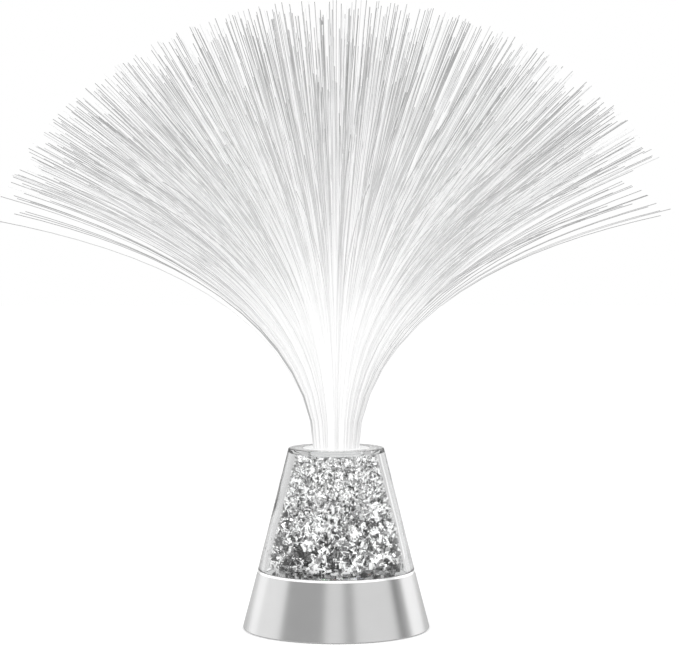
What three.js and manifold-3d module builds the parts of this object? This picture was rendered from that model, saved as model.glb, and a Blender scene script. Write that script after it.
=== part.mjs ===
// Fiber optic lamp: a silver battery base, a clear dome of foil shreds, and a spray of fibres that plugs in.
// Lengths are in millimetres. +Z is up, and the origin is on the ground under the lamp's axis.
import * as THREE from "three";
import { mergeVertices } from "three/addons/utils/BufferGeometryUtils.js";
import Module from "manifold-3d";

const wasm = await Module();
wasm.setup();

// Clearances
const fitGap = 0.3; // between two pieces that seat on or in each other
const overrun = 1; // how far a cut runs past what it cuts

// AA cells and the bay that holds them
const cellRadius = 7.25;
const cellLength = 50.5; // with its nub
const nubRadius = 2.75;
const nubHeight = 1.2;
const cellShoulder = 0.9; // bevel at the ends of its can
const cellSpacing = 0.5; // between two cells
const cellCount = 3;
const bayWall = 1.5;
const ribThickness = 1;
const ribDepth = 2.6;

// Contacts at the ends of the cells
const contactThickness = 0.5;
const contactWidth = 9;
const springHeight = 5.5; // squeezed by its cell
const springWire = 0.4; // radius of the wire
const springFootRadius = 3.6;
const springTipRadius = 2.6;
const springTurns = 3;
const tailWidth = 3;
const tailReach = 1.6; // above the bay's ceiling

// Base plate, its battery door and the door's hinge
const plateLift = 2.2; // underside above the ground
const plateThickness = 3.4;
const doorRecess = 0.5;
const doorThickness = 1.8;
const doorMargin = 1.2; // door beyond the bay's opening, on each side
const hingePinRadius = 0.6;
const hingePinLength = 1.5;
const tongueRadius = 4.5;
const fingerRoom = 2.5; // round the door's tongue
const gripWidth = 16;
const gripDepth = 0.5;
const gripPitch = 2.4;
const gripCount = 5;

// Silver housing
const skirtRoom = 10.5; // from the corner of the bay to the outside of the skirt's foot
const skirtTaper = 7.6; // how much narrower the housing is at the seam
const skirtLift = 0.8; // lower edge above the ground
const housingWall = 2.2;
const skirtRound = 1.8;
const shelfThickness = 2;
const shelfWidth = 10;
const lipHeight = 3.2; // above the shelf
const lipBevelWidth = 0.7;
const lipBevelHeight = 1.2;
const lipThickness = 1; // beside the dome's foot, with the bevel left out

// Screws that hold the plate to the housing
const bossRadius = 3.2;
const bossSpread = 16; // each side of the middle
const screwHeadRadius = 2.6;
const screwHeadHeight = 1.5;
const screwRadius = 1;
const screwLength = 9;
const driveWidth = 0.8; // width and depth of the cross in a screw's head
const driveDepth = 0.6;
const driveSpanShare = 1.2; // span of the cross against the head's radius

// Rubber feet
const footRadius = 4.5;
const footRecess = 0.8;
const footRound = 0.5;
const footMargin = 2; // between a foot and the plate's edge

// Slide switch
const switchWidth = 6.4;
const switchLength = 12;
const switchHeight = 5.2;
const knobWidth = 2.8;
const knobLength = 4;
const knobDrop = 1.2; // how far the knob stands below the plate
const knobRidge = 0.4;
const knobRidgePitch = 1.2;
const sliderMargin = 0.6; // slider beyond the knob, on each side
const sliderHeight = 1.8;
const switchTravel = 4;
const clipThickness = 1.2;
const clipHeight = 3;

// Light board and its parts
const boardRadius = 17;
const boardThickness = 1.6;
const standoffHeight = 1.5;
const standoffRadius = 2.4;
const boardScrewPlace = 13; // from the axis
const boardScrewRadius = 0.9;
const boardScrewHead = 2;
const boardScrewHeadHeight = 1.2;
const ledRadius = 2.5;
const ledRimRadius = 2.9;
const ledRimHeight = 1;
const ledHeight = 8.6;
const ledPlace = 5.2; // from the axis
const chipLength = 5;
const chipWidth = 4;
const chipHeight = 1.5;
const chipPlace = 11.5; // from the axis
const wireRadius = 0.65;

// Deck under the shreds
const deckRoom = 3.9; // from the board's top to the deck
const deckThickness = 1.6;
const collarThickness = 1.2;
const collarHeight = 1.5;

// Fibre bundle, its ferrule and the tube that it plugs into
const bundleRadius = 11.6; // to the middle of the outermost fibre
const pottingMargin = 0.7; // potting outside the outermost fibre
const ferruleWall = 0.8;
const ferruleLength = 33.7;
const ferruleFlange = 4.1; // flange beyond the ferrule's outside
const ferruleFlangeHeight = 1.3;
const keyWidth = 3;
const keyReach = 1;
const tubeWall = 1.5;

// Clear dome
const domeHeight = 67.6;
const domeTaper = 16.6; // how much narrower the dome is at its top than at the seam
const domeWall = 4.2;
const domeTopThickness = 3;
const domeRound = 0.8;

// Foil shreds, as the one mass that they fill
const shredGap = 0.5; // from the dome
const shredRelief = 2.1; // depth of the crumpled surface
const shredChanceShare = 0.4; // of that depth that differs from dent to dent
const shredSteps = 30;
const shredRings = 8;

// Spray of fibres
const strandLength = 236;
const strandRadius = 0.34;
const strandMargin = 0.2; // between a fibre and the flat sides of its quarter
const strandRoot = 1.2; // sunk in the potting
const bendLength = 95; // distance over which a fibre turns outwards
const outerLean = THREE.MathUtils.degToRad(88);
const quarterCount = 4;
const strandsPerQuarter = 75;
const denseLeanShare = 0.925; // of that lean, in all but the outermost fibres
const hangingLeanShares = [1.02, 0.98, 0.96]; // in the outermost few, which hang below the rest
const outerTrimShare = 0.035; // how much shorter a fibre is towards the outside of the bundle
const outermostTrimShare = 0.02; // and a little more in the last of them
const looseTrimShare = 0.13; // how much shorter a fibre may be than its neighbours
const finerPlaceShare = 0.9; // fibres that start further out than this bend most and get one more ring
const stationShares = [0, 0.15, 0.58, 1]; // rings along a fibre
const finerStationShares = [0, 0.15, 0.32, 0.58, 1];

// Steps of the round shapes
const wideSteps = 48;
const tubeSteps = 36;
const cellSteps = 20;
const smallSteps = 12;

// Places and sizes that follow from those above
const plateTop = plateLift + plateThickness;
const doorBottom = plateLift + doorRecess;
const doorTop = doorBottom + doorThickness;
const doorSeat = doorTop + fitGap;
const cellPitch = 2 * cellRadius + cellSpacing;
const cellAxisHeight = doorTop + fitGap + cellRadius;
const bayWidth = cellPitch * cellCount + cellSpacing;
const bayLength = cellLength + springHeight + 2 * contactThickness + 4 * fitGap;
const bayCeiling = cellAxisHeight + cellRadius + fitGap;
const bayTop = bayCeiling + bayWall;
const doorWidth = bayWidth + 2 * doorMargin;
const doorLength = bayLength + 2 * doorMargin;
const boardBottom = bayTop + standoffHeight;
const boardTop = boardBottom + boardThickness;
const skirtRadius = Math.hypot(bayWidth / 2 + bayWall, bayLength / 2 + bayWall) + skirtRoom;
const lipRadius = skirtRadius - skirtTaper;
const domeBottom = boardTop + deckRoom;
const shelfTop = domeBottom - fitGap;
const shelfBottom = shelfTop - shelfThickness;
const housingTop = shelfTop + lipHeight;
const seamHeight = housingTop - lipBevelHeight;
const plateRadius = housingOutside(plateTop) - housingWall - fitGap;
const bossPlace = bayLength / 2 + bayWall + bossRadius + fitGap;
const footPlace = plateRadius - footMargin - footRadius;
const switchPlace = (doorWidth / 2 + plateRadius) / 2;
const switchBottom = plateTop + fitGap;
const deckTop = domeBottom + deckThickness;
const pottingRadius = bundleRadius + pottingMargin;
const ferruleBore = pottingRadius + 2 * fitGap;
const ferruleRadius = ferruleBore + ferruleWall;
const flangeRadius = ferruleRadius + ferruleFlange;
const tubeBore = ferruleRadius + fitGap;
const tubeRadius = tubeBore + tubeWall;
const collarBore = tubeRadius + fitGap;
const collarRadius = collarBore + collarThickness;
const domeTop = domeBottom + domeHeight;
const domeTopRadius = domeOutside(domeTop);
const lipBore = domeOutside(housingTop) - lipThickness;
const spigotRadius = lipBore - fitGap;
const seatDepth = ferruleFlangeHeight + fitGap;
const seatFloor = domeTop - seatDepth;
const ferruleBottom = domeTop - ferruleLength;
const pottingTop = domeTop - fitGap;

const materials = {
  silver: finish(0xc9c9cb, 0.28, 1),
  deck: finish(0xd9dadd, 0.12, 1),
  blackPlastic: finish(0x1b1c1e, 0.55, 0),
  rubber: finish(0x232323, 0.85, 0),
  steel: finish(0xb9bbbd, 0.3, 1),
  spring: finish(0xcfcfc8, 0.25, 1),
  cell: finish(0x4e5a63, 0.4, 0.1),
  board: finish(0x1f6b3a, 0.5, 0),
  chip: finish(0x101012, 0.4, 0),
  led: finish(0xf2f4f6, 0.1, 0),
  redWire: finish(0xb32020, 0.5, 0),
  blackWire: finish(0x202020, 0.5, 0),
  clear: finish(0xf3f5f7, 0.05, 0, 0.35),
  foil: finish(0xd2d4d8, 0.18, 1),
  ferrule: finish(0xf4f4f2, 0.4, 0),
  fibre: finish(0xeceeef, 0.25, 0),
};

function finish(color, roughness, metalness, opacity = 1) {
  const transparent = opacity < 1;
  return new THREE.MeshStandardMaterial({ color, roughness, metalness, opacity, transparent });
}

// Outer radius of the housing's cone at a height.
function housingOutside(height) {
  return skirtRadius - (skirtTaper * (height - skirtLift)) / (seamHeight - skirtLift);
}

// Outer radius of the dome's cone at a height. It carries on where the housing's cone ends.
function domeOutside(height) {
  return lipRadius - (domeTaper * (height - seamHeight)) / (domeTop - seamHeight);
}

// A closed geometry as a solid that can be joined to others and cut.
function solid(geometry) {
  const bare = geometry.clone();
  bare.deleteAttribute("normal");
  bare.deleteAttribute("uv");
  const merged = mergeVertices(bare);
  const vertProperties = merged.attributes.position.array;
  const triVerts = new Uint32Array(merged.index.array);
  return new wasm.Manifold(new wasm.Mesh({ numProp: 3, vertProperties, triVerts }));
}

function joined(...geometries) {
  return geometries.map(solid).reduce((sum, next) => sum.add(next));
}

function cut(body, ...tools) {
  return tools.map(solid).reduce((left, tool) => left.subtract(tool), body);
}

function geometryOf(body) {
  const mesh = body.getMesh();
  const geometry = new THREE.BufferGeometry();
  geometry.setAttribute("position", new THREE.BufferAttribute(mesh.vertProperties, 3));
  geometry.setIndex(new THREE.BufferAttribute(mesh.triVerts, 1));
  const faceted = geometry.toNonIndexed();
  faceted.computeVertexNormals();
  return faceted;
}

const lamp = new THREE.Group();

function addPiece(name, shape, material) {
  const geometry = shape.isBufferGeometry ? shape : geometryOf(shape);
  const mesh = new THREE.Mesh(geometry, material);
  mesh.name = name;
  lamp.add(mesh);
  return mesh;
}

// A solid turned about Z from [radius, height] points, which run up the outside and down the inside.
function turned(profile, steps) {
  const points = profile.map(([radius, height]) => new THREE.Vector2(radius, height));
  return new THREE.LatheGeometry(points, steps).rotateX(Math.PI / 2);
}

// An upright rod that stands on the height z.
function rod(radius, length, x, y, z, steps = smallSteps) {
  const profile = [
    [0, 0],
    [radius, 0],
    [radius, length],
    [0, length],
  ];
  return turned(profile, steps).translate(x, y, z);
}

// An upright pipe that stands on the height z.
function pipe(outer, bore, length, z, steps) {
  const profile = [
    [bore, 0],
    [outer, 0],
    [outer, length],
    [bore, length],
    [bore, 0],
  ];
  return turned(profile, steps).translate(0, 0, z);
}

// A box whose underside is centred on x, y at the height z.
function block(width, depth, height, x, y, z) {
  return new THREE.BoxGeometry(width, depth, height).translate(x, y, z + height / 2);
}

// A wire or spring: a round section with few sides, swept along a curve.
function swept(curve, radius, sides, steps) {
  const section = new THREE.Shape();
  for (let side = 0; side < sides; side += 1) {
    const angle = (2 * Math.PI * side) / sides;
    const corner = [radius * Math.cos(angle), radius * Math.sin(angle)];
    if (side === 0) section.moveTo(...corner);
    else section.lineTo(...corner);
  }
  section.closePath();
  return new THREE.ExtrudeGeometry(section, { steps, bevelEnabled: false, extrudePath: curve });
}

// The same fraction for the same pair of counts, spread evenly over 0 to 1.
function spreadShare(index, seed) {
  const golden = (Math.sqrt(5) - 1) / 2;
  return (index * golden + seed * golden * golden) % 1;
}

function bossPlaces() {
  const places = [];
  for (const side of [-1, 1]) {
    for (const end of [-1, 1]) places.push([side * bossSpread, end * bossPlace]);
  }
  return places;
}

function addHousing() {
  const wallInside = (height) => housingOutside(height) - housingWall;
  const roundSteps = 2;
  const profile = [[wallInside(skirtLift), skirtLift]];
  for (let step = 0; step <= roundSteps; step += 1) {
    const angle = (Math.PI / 2) * (step / roundSteps);
    const inset = skirtRound * (1 - Math.sin(angle));
    const height = skirtLift + skirtRound * (1 - Math.cos(angle));
    profile.push([housingOutside(height) - inset, height]);
  }
  profile.push(
    [lipRadius, seamHeight],
    [lipRadius - lipBevelWidth, housingTop],
    [lipBore, housingTop],
    [lipBore, shelfTop],
    [wallInside(shelfTop) - shelfWidth, shelfTop],
    [wallInside(shelfTop) - shelfWidth, shelfBottom],
    [wallInside(shelfBottom), shelfBottom],
    [wallInside(skirtLift), skirtLift],
  );
  let body = solid(turned(profile, wideSteps));
  const bossBottom = plateTop + fitGap;
  const pilotDepth = screwLength + fitGap;
  for (const [x, y] of bossPlaces()) {
    const bossTop = shelfTop - shelfThickness / 2;
    body = body.add(solid(rod(bossRadius, bossTop - bossBottom, x, y, bossBottom)));
  }
  for (const [x, y] of bossPlaces()) {
    body = cut(body, rod(screwRadius + fitGap, pilotDepth, x, y, bossBottom - fitGap));
  }
  addPiece("base_housing", body, materials.silver);
}

// The feet stand beside the door, near the plate's edge.
function footPlaces() {
  const places = [];
  const across = doorWidth / 2 + footMargin + footRadius;
  const along = Math.sqrt(footPlace * footPlace - across * across);
  for (const side of [-1, 1]) {
    for (const end of [-1, 1]) places.push([side * across, end * along]);
  }
  return places;
}

function addBasePlate() {
  const bayHeight = bayTop - plateTop;
  const switchSlot = knobLength + switchTravel + 2 * fitGap;
  const hingeHeight = doorBottom + doorThickness / 2;
  const hingePlace = (doorLength - doorThickness) / 2;
  const socketWidth = doorWidth + 2 * (hingePinLength + 2 * fitGap);
  const socket = rod(hingePinRadius + fitGap, socketWidth, 0, 0, 0);
  socket.rotateY(Math.PI / 2).translate(-socketWidth / 2, hingePlace, hingeHeight);
  const cutBottom = plateLift - overrun;
  const baySpace = bayCeiling - cutBottom;
  const rebateDepth = doorSeat - cutBottom;
  const screwSeat = plateLift + screwHeadHeight + fitGap - cutBottom;
  const footSeat = plateLift + footRecess - cutBottom;
  const throughPlate = plateThickness + 2 * overrun;
  const clipPlace = switchLength / 2 + fitGap + clipThickness / 2;

  let body = joined(
    rod(plateRadius, plateThickness, 0, 0, plateLift, wideSteps),
    block(bayWidth + 2 * bayWall, bayLength + 2 * bayWall, bayHeight + overrun, 0, 0, plateTop - overrun),
    rod(standoffRadius, standoffHeight - fitGap + overrun, 0, boardScrewPlace, bayTop - overrun),
    rod(standoffRadius, standoffHeight - fitGap + overrun, 0, -boardScrewPlace, bayTop - overrun),
    block(switchWidth, clipThickness, clipHeight + overrun, switchPlace, clipPlace, plateTop - overrun),
    block(switchWidth, clipThickness, clipHeight + overrun, switchPlace, -clipPlace, plateTop - overrun),
  );
  body = cut(
    body,
    block(bayWidth, bayLength, baySpace, 0, 0, cutBottom),
    block(doorWidth + 2 * fitGap, doorLength + 2 * fitGap, rebateDepth, 0, 0, cutBottom),
    rod(tongueRadius + fingerRoom, rebateDepth, 0, -doorLength / 2, cutBottom, cellSteps),
    socket,
    block(knobWidth + 2 * fitGap, switchSlot, throughPlate, switchPlace, 0, cutBottom),
  );
  for (const [x, y] of bossPlaces()) {
    body = cut(
      body,
      rod(screwHeadRadius + fitGap, screwSeat, x, y, cutBottom),
      rod(screwRadius + fitGap, throughPlate, x, y, cutBottom),
    );
  }
  for (const [x, y] of footPlaces()) {
    body = cut(body, rod(footRadius + fitGap, footSeat, x, y, cutBottom));
  }
  const pilotBottom = bayTop - bayWall / 2;
  const pilotDepth = boardBottom + overrun - pilotBottom;
  for (const end of [-1, 1]) {
    body = cut(body, rod(boardScrewRadius + fitGap, pilotDepth, 0, end * boardScrewPlace, pilotBottom));
  }
  for (const { x, end } of terminals()) {
    const slotWidth = tailWidth + 2 * fitGap;
    const slotLength = contactThickness + 2 * fitGap;
    const y = end * (bayLength / 2 - fitGap - contactThickness / 2);
    body = cut(body, block(slotWidth, slotLength, bayWall + 2 * overrun, x, y, bayCeiling - overrun));
  }
  for (let gap = 1; gap < cellCount; gap += 1) {
    const x = (gap - cellCount / 2) * cellPitch;
    const ribBottom = bayCeiling - ribDepth;
    const ribLength = cellLength - 2 * springHeight;
    body = body.add(solid(block(ribThickness, ribLength, ribDepth + bayWall / 2, x, 0, ribBottom)));
  }
  addPiece("base_plate", body, materials.blackPlastic);
}

function addDoor() {
  const radius = doorThickness / 2;
  const side = new THREE.Shape();
  side.moveTo(-doorLength / 2, -radius);
  side.lineTo(doorLength / 2 - radius, -radius);
  side.absarc(doorLength / 2 - radius, 0, radius, -Math.PI / 2, Math.PI / 2, false);
  side.lineTo(-doorLength / 2, radius);
  side.closePath();
  const middle = doorBottom + radius;
  const panel = new THREE.ExtrudeGeometry(side, { depth: doorWidth, bevelEnabled: false, curveSegments: 6 });
  panel.rotateX(Math.PI / 2).rotateZ(Math.PI / 2).translate(0, 0, middle);
  panel.translate(-panelMiddle(panel), 0, 0);

  const pinLength = doorWidth + 2 * hingePinLength;
  const pin = rod(hingePinRadius, pinLength, 0, 0, 0);
  pin.rotateY(Math.PI / 2).translate(-pinLength / 2, doorLength / 2 - radius, middle);
  const tongue = rod(tongueRadius, doorThickness, 0, -doorLength / 2, doorBottom, cellSteps);
  let body = joined(panel, pin, tongue);
  for (let groove = 0; groove < gripCount; groove += 1) {
    const y = gripPitch * (groove + 1) - doorLength / 2;
    body = cut(body, block(gripWidth, gripPitch / 2, gripDepth + overrun, 0, y, doorBottom - overrun));
  }
  addPiece("battery_door", body, materials.blackPlastic);
}

function panelMiddle(panel) {
  panel.computeBoundingBox();
  return (panel.boundingBox.min.x + panel.boundingBox.max.x) / 2;
}

function cellPlace(cell) {
  return (cell - (cellCount - 1) / 2) * cellPitch;
}

// Which end of the bay a cell's nub points at: its neighbours point the other way.
function nubEnd(cell) {
  return cell % 2 === 0 ? 1 : -1;
}

// The first cell's spring and the last cell's plate carry the tails that the wires start from.
function terminals() {
  const last = cellCount - 1;
  return [
    { x: cellPlace(0), end: -nubEnd(0) },
    { x: cellPlace(last), end: nubEnd(last) },
  ];
}

function addCells() {
  const canLength = cellLength - nubHeight;
  const profile = [
    [0, 0],
    [cellRadius - cellShoulder, 0],
    [cellRadius, cellShoulder],
    [cellRadius, canLength - cellShoulder],
    [cellRadius - cellShoulder, canLength],
    [nubRadius, canLength],
    [nubRadius, cellLength],
    [0, cellLength],
  ];
  for (let cell = 0; cell < cellCount; cell += 1) {
    const end = nubEnd(cell);
    const can = turned(profile, cellSteps).rotateX((-end * Math.PI) / 2);
    const nubTip = end * (bayLength / 2 - contactThickness - 2 * fitGap);
    can.translate(cellPlace(cell), nubTip - end * cellLength, cellAxisHeight);
    addPiece(`battery_${cell + 1}`, can, materials.cell);
  }
}

// A spring that narrows towards its cell. Its foot lies flat on the contact plate.
class SpringCurve extends THREE.Curve {
  getPoint(share, target = new THREE.Vector3()) {
    const angle = 2 * Math.PI * springTurns * share;
    const radius = springFootRadius + (springTipRadius - springFootRadius) * share;
    const rise = springWire / 2 + (springHeight - 1.5 * springWire - springWire / 2) * share;
    return target.set(radius * Math.cos(angle), rise, radius * Math.sin(angle));
  }
}

// The least open gap between two turns of a spring, measured on points of its middle line.
function leastSpringGap() {
  const pointsPerTurn = 24;
  const points = new SpringCurve().getPoints(springTurns * pointsPerTurn);
  let least = Infinity;
  for (let here = 0; here < points.length; here += 1) {
    for (let there = here + pointsPerTurn / 2; there < points.length; there += 1) {
      least = Math.min(least, points[here].distanceTo(points[there]));
    }
  }
  return least - 2 * springWire;
}

function addContacts() {
  const plateHeight = contactWidth;
  const tailHeight = bayTop + tailReach - cellAxisHeight;
  const ends = terminals();
  const isTerminal = (x, end) => ends.some((terminal) => terminal.x === x && terminal.end === end);
  for (let cell = 0; cell < cellCount; cell += 1) {
    const x = cellPlace(cell);
    for (const kind of ["spring", "plate"]) {
      const end = kind === "plate" ? nubEnd(cell) : -nubEnd(cell);
      const y = end * (bayLength / 2 - fitGap - contactThickness / 2);
      const leaf = block(contactWidth, contactThickness, plateHeight, x, y, cellAxisHeight - plateHeight / 2);
      let body = solid(leaf);
      if (isTerminal(x, end)) {
        body = body.add(solid(block(tailWidth, contactThickness, tailHeight, x, y, cellAxisHeight)));
      }
      if (kind === "spring") {
        const coil = swept(new SpringCurve(), springWire, 5, springTurns * 8);
        if (end > 0) coil.rotateZ(Math.PI);
        coil.translate(x, y - (end * contactThickness) / 2, cellAxisHeight);
        body = body.add(solid(coil));
      }
      addPiece(`${kind}_contact_${cell + 1}`, body, kind === "spring" ? materials.spring : materials.steel);
    }
  }
}

function addFeet() {
  const height = plateLift + footRecess - fitGap;
  const profile = [
    [0, 0],
    [footRadius - footRound, 0],
    [footRadius, footRound],
    [footRadius, height],
    [0, height],
  ];
  footPlaces().forEach(([x, y], index) => {
    addPiece(`rubber_foot_${index + 1}`, turned(profile, smallSteps).translate(x, y, 0), materials.rubber);
  });
}

// A pan-head screw with a cross in its head. It points up, and its head's underside is at z 0.
function screw(headRadius, headHeight, radius, length) {
  const profile = [
    [0, -headHeight],
    [headRadius - headHeight / 2, -headHeight],
    [headRadius, -headHeight / 2],
    [headRadius, 0],
    [radius, 0],
    [radius, length - radius],
    [0, length],
  ];
  const crossLength = headRadius * driveSpanShare;
  const crossBottom = -headHeight - overrun;
  return cut(
    solid(turned(profile, smallSteps)),
    block(crossLength, driveWidth, driveDepth + overrun, 0, 0, crossBottom),
    block(driveWidth, crossLength, driveDepth + overrun, 0, 0, crossBottom),
  );
}

function addScrews() {
  const headSeat = plateLift + screwHeadHeight;
  bossPlaces().forEach(([x, y], index) => {
    const shape = geometryOf(screw(screwHeadRadius, screwHeadHeight, screwRadius, screwLength));
    addPiece(`base_screw_${index + 1}`, shape.translate(x, y, headSeat), materials.steel);
  });
  const boardScrewLength = boardThickness + standoffHeight;
  [-1, 1].forEach((end, index) => {
    const body = screw(boardScrewHead, boardScrewHeadHeight, boardScrewRadius, boardScrewLength);
    const shape = geometryOf(body).rotateX(Math.PI);
    shape.translate(0, end * boardScrewPlace, boardTop + fitGap);
    addPiece(`board_screw_${index + 1}`, shape, materials.steel);
  });
}

function addSwitch() {
  const sliderWidth = knobWidth + 2 * sliderMargin;
  const sliderLength = knobLength + 2 * sliderMargin;
  const cavityHeight = sliderHeight + 2 * fitGap;
  const body = cut(
    solid(block(switchWidth, switchLength, switchHeight, switchPlace, 0, switchBottom)),
    block(
      sliderWidth + 2 * fitGap,
      sliderLength + switchTravel + 2 * fitGap,
      cavityHeight + overrun,
      switchPlace,
      0,
      switchBottom - overrun,
    ),
  );
  addPiece("slide_switch_body", body, materials.blackPlastic);

  // At rest the knob is at the end of its slot that switches the lamp on.
  const onPlace = switchTravel / 2;
  const knobBottom = plateLift - knobDrop;
  const sliderBottom = switchBottom + fitGap;
  let knob = joined(
    block(knobWidth, knobLength, sliderBottom + sliderHeight - knobBottom, switchPlace, onPlace, knobBottom),
    block(sliderWidth, sliderLength, sliderHeight, switchPlace, onPlace, sliderBottom),
  );
  for (const step of [-1, 0, 1]) {
    const y = onPlace + step * knobRidgePitch;
    const groove = block(knobWidth + 2 * overrun, knobRidge, knobRidge + overrun, 0, 0, knobBottom - overrun);
    knob = cut(knob, groove.translate(switchPlace, y, 0));
  }
  addPiece("switch_knob", knob, materials.blackPlastic);
}

function addBoard() {
  const holeBottom = boardBottom - overrun;
  const holeDepth = boardThickness + 2 * overrun;
  const holes = [-1, 1].map((end) =>
    rod(boardScrewRadius + fitGap, holeDepth, 0, end * boardScrewPlace, holeBottom),
  );
  const board = cut(solid(rod(boardRadius, boardThickness, 0, 0, boardBottom, cellSteps)), ...holes);
  addPiece("led_board", board, materials.board);

  const bodyTop = ledHeight - ledRadius;
  const domeSteps = 3;
  const profile = [
    [0, 0],
    [ledRimRadius, 0],
    [ledRimRadius, ledRimHeight],
    [ledRadius, ledRimHeight],
  ];
  for (let step = 0; step <= domeSteps; step += 1) {
    const angle = (Math.PI / 2) * (step / domeSteps);
    const radius = step === domeSteps ? 0 : ledRadius * Math.cos(angle);
    profile.push([radius, bodyTop + ledRadius * Math.sin(angle)]);
  }
  ["led_red", "led_green", "led_blue"].forEach((name, index) => {
    const angle = Math.PI / 2 + (2 * Math.PI * index) / 3;
    const x = ledPlace * Math.cos(angle);
    const y = ledPlace * Math.sin(angle);
    addPiece(name, turned(profile, smallSteps).translate(x, y, boardTop + fitGap), materials.led);
  });
  const chip = block(chipLength, chipWidth, chipHeight, chipPlace, 0, boardTop + fitGap);
  addPiece("colour_chip", chip, materials.chip);
}

function addWires() {
  const aboveBoard = boardTop + wireRadius + fitGap;
  const besideTail = contactThickness / 2 + wireRadius + fitGap;
  const colours = [materials.blackWire, materials.redWire];
  terminals().forEach(({ x, end }, index) => {
    const tailMiddle = end * (bayLength / 2 - fitGap - contactThickness / 2);
    const start = tailMiddle - end * besideTail;
    const low = bayTop + wireRadius + fitGap;
    const pad = (boardRadius - 4 * wireRadius) / Math.hypot(x, start);
    const rim = (boardRadius + 4 * wireRadius) / Math.hypot(x, start);
    const route = new THREE.CatmullRomCurve3([
      new THREE.Vector3(x, start, low),
      new THREE.Vector3(x - Math.sign(x) * wireRadius, start - end * 4 * wireRadius, low),
      new THREE.Vector3(x * rim, start * rim, aboveBoard),
      new THREE.Vector3(x * pad, start * pad, aboveBoard),
    ]);
    addPiece(`battery_wire_${index + 1}`, swept(route, wireRadius, 8, 10), colours[index]);
  });
  const switchTop = switchBottom + switchHeight + fitGap;
  const switchRoute = new THREE.CatmullRomCurve3([
    new THREE.Vector3(switchPlace, 0, switchTop),
    new THREE.Vector3(switchPlace, 0, switchTop + 4 * wireRadius),
    new THREE.Vector3((switchPlace + boardRadius) / 2, 0, bayTop),
    new THREE.Vector3(boardRadius + 2 * wireRadius, 0, aboveBoard),
    new THREE.Vector3(boardRadius - 2 * wireRadius, 0, aboveBoard),
  ]);
  addPiece("switch_wire", swept(switchRoute, wireRadius, 8, 14), materials.blackWire);
}

function addDeck() {
  const rim = (height) => domeOutside(height) - domeWall - fitGap;
  const profile = [
    [tubeBore, domeBottom],
    [rim(domeBottom), domeBottom],
    [rim(deckTop), deckTop],
    [collarRadius, deckTop],
    [collarRadius, deckTop + collarHeight],
    [collarBore, deckTop + collarHeight],
    [collarBore, deckTop],
    [tubeBore, deckTop],
    [tubeBore, domeBottom],
  ];
  addPiece("reflector_deck", turned(profile, tubeSteps), materials.deck);
}

// A key on the ferrule's flange, or the notch for it with some room all round.
function flangeKey(room, height, z) {
  const reach = keyReach + room;
  const width = keyWidth + 2 * room;
  const depth = reach + flangeRadius / 2;
  return block(width, depth, height, 0, flangeRadius / 2 + depth / 2, z);
}

// The dome stands on the housing's shelf. Its foot is straight, inside the lip, and its shoulder covers the lip.
function addDome() {
  const insideTop = domeTop - domeTopThickness;
  const inside = (height) => domeOutside(height) - domeWall;
  const shoulder = housingTop + fitGap;
  const profile = [
    [inside(domeBottom), domeBottom],
    [spigotRadius, domeBottom],
    [spigotRadius, shoulder],
    [domeOutside(shoulder), shoulder],
    [domeOutside(domeTop - domeRound), domeTop - domeRound],
    [domeTopRadius - domeRound, domeTop],
    [flangeRadius + fitGap, domeTop],
    [flangeRadius + fitGap, seatFloor],
    [collarBore, seatFloor],
    [collarBore, insideTop],
    [inside(insideTop), insideTop],
    [inside(domeBottom), domeBottom],
  ];
  const notch = flangeKey(fitGap, seatDepth + overrun, seatFloor);
  addPiece("crystal_dome", cut(solid(turned(profile, wideSteps)), notch), materials.clear);
}

function addCoreTube() {
  const bottom = deckTop + fitGap;
  addPiece("core_tube", pipe(tubeRadius, tubeBore, seatFloor - bottom, bottom, tubeSteps), materials.clear);
}

function addFerrule() {
  const flangeBottom = domeTop - ferruleFlangeHeight;
  const profile = [
    [ferruleBore, ferruleBottom],
    [ferruleRadius, ferruleBottom],
    [ferruleRadius, flangeBottom],
    [flangeRadius, flangeBottom],
    [flangeRadius, domeTop],
    [ferruleBore, domeTop],
    [ferruleBore, ferruleBottom],
  ];
  const bore = rod(ferruleBore, ferruleFlangeHeight + 2 * overrun, 0, 0, flangeBottom - overrun, tubeSteps);
  const key = cut(solid(flangeKey(0, ferruleFlangeHeight, flangeBottom)), bore);
  addPiece("bundle_ferrule", solid(turned(profile, tubeSteps)).add(key), materials.ferrule);
}

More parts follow.
